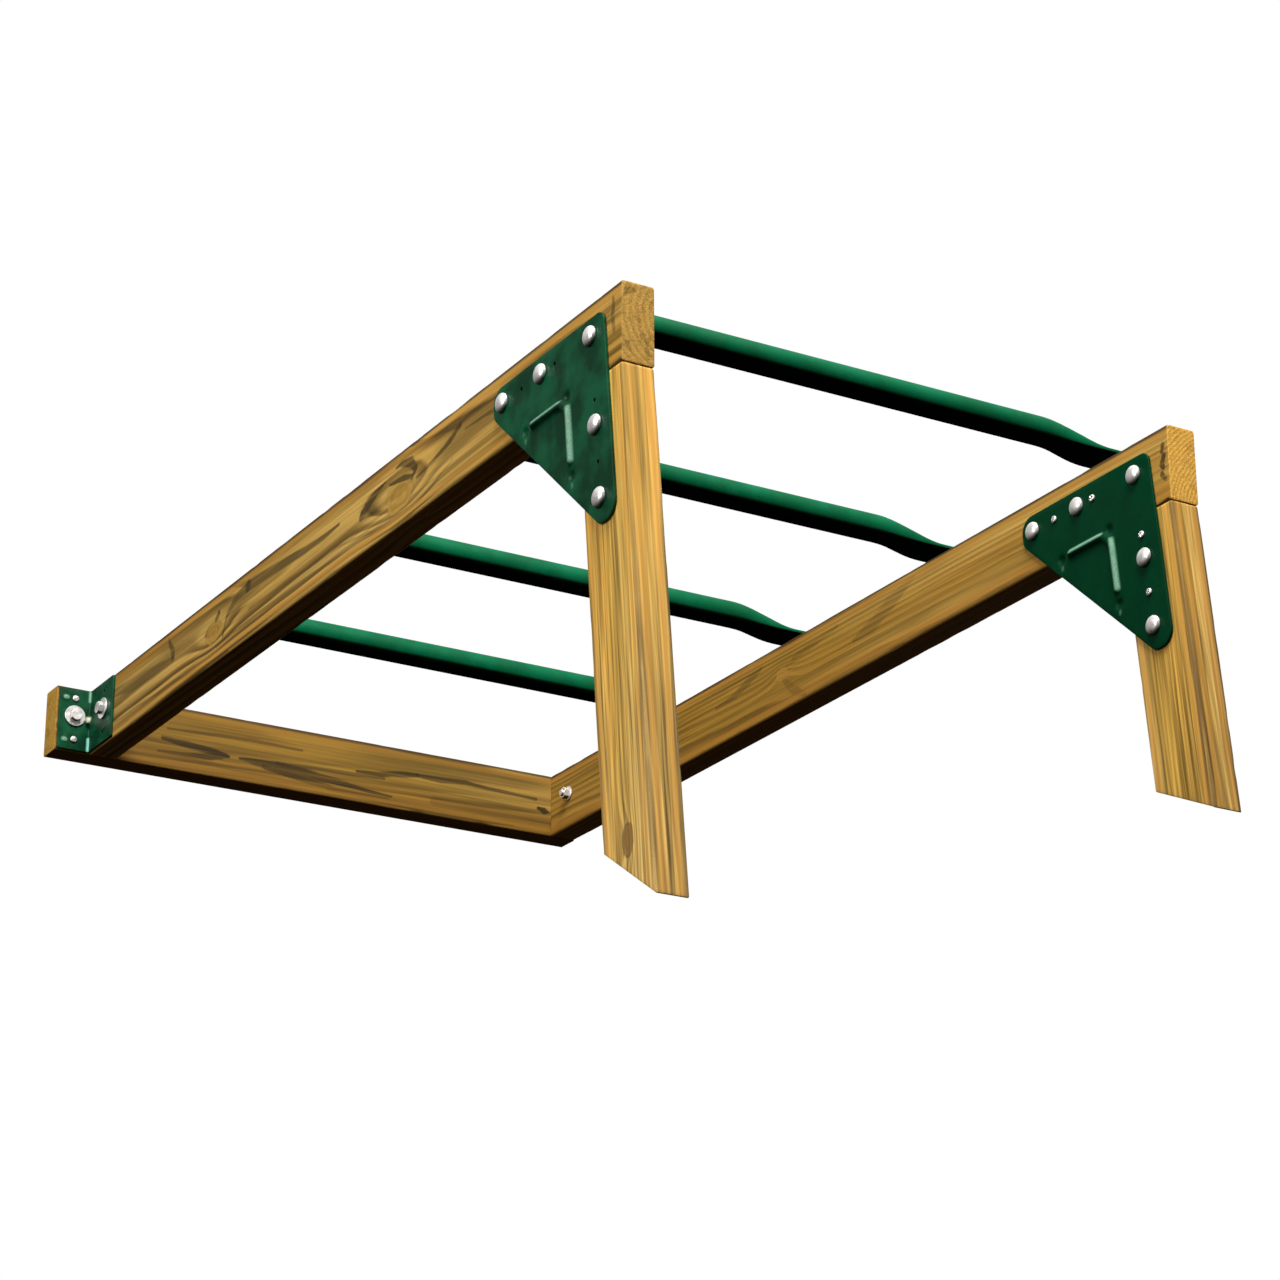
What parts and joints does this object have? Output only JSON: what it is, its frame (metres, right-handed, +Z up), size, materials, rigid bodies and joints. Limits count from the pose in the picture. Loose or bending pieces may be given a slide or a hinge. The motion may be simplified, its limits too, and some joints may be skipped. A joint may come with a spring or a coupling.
{
  "type": "monkey bars",
  "caption": "Ladder-style monkey bars: timber side rails on a rear cross beam, pressed-end steel tube rungs bolted on top, raked timber leg stubs on green gusset plates.",
  "frame": {"origin": "middle of the cross beam's rear face, where the ladder fastens to its tower", "axes": "+Z up, +Y out of the rear face towards the tower, -Y towards the climber's end with the legs, +X to the right seen from the climber's end"},
  "size_m": [0.7878, 1.4655, 0.685],
  "materials": {
    "timber": "golden treated pine, planed, eased edges, matt",
    "green_plate": "dark green powder coat, semi-gloss",
    "green_tube": "green powder coat, glossy",
    "zinc": "bright zinc plated"
  },
  "bodies": {
    "root": {"rail_left": "timber", "rail_right": "timber", "cross_beam": "timber", "leg_left": "timber", "leg_right": "timber", "rung_1": "green_tube", "rung_1_lag_left": "zinc", "rung_1_lag_right": "zinc", "rung_2": "green_tube", "rung_2_lag_left": "zinc", "rung_2_lag_right": "zinc", "rung_3": "green_tube", "rung_3_lag_left": "zinc", "rung_3_lag_right": "zinc", "rung_4": "green_tube", "rung_4_lag_left": "zinc", "rung_4_lag_right": "zinc", "gusset_left_outer": "green_plate", "gusset_left_inner": "green_plate", "gusset_right_inner": "green_plate", "gusset_right_outer": "green_plate", "gusset_left_bolt_1": "zinc", "gusset_left_nut_1": "zinc", "gusset_right_bolt_1": "zinc", "gusset_right_nut_1": "zinc", "gusset_left_bolt_2": "zinc", "gusset_left_nut_2": "zinc", "gusset_right_bolt_2": "zinc", "gusset_right_nut_2": "zinc", "gusset_left_bolt_3": "zinc", "gusset_left_nut_3": "zinc", "gusset_right_bolt_3": "zinc", "gusset_right_nut_3": "zinc", "gusset_left_bolt_4": "zinc", "gusset_left_nut_4": "zinc", "gusset_right_bolt_4": "zinc", "gusset_right_nut_4": "zinc", "gusset_left_bolt_5": "zinc", "gusset_left_nut_5": "zinc", "gusset_right_bolt_5": "zinc", "gusset_right_nut_5": "zinc", "gusset_right_screw_1": "zinc", "gusset_right_screw_2": "zinc", "gusset_right_screw_3": "zinc", "gusset_right_screw_4": "zinc", "corner_bracket": "green_plate", "bracket_rail_bolt": "zinc", "bracket_rail_washer": "zinc", "bracket_rail_nut": "zinc", "bracket_beam_lag": "zinc", "bracket_beam_washer": "zinc", "bracket_screw_upper": "zinc", "bracket_screw_lower": "zinc", "rear_right_bolt": "zinc", "rear_right_washer": "zinc", "rear_right_nut": "zinc"}
  },
  "joints": []
}
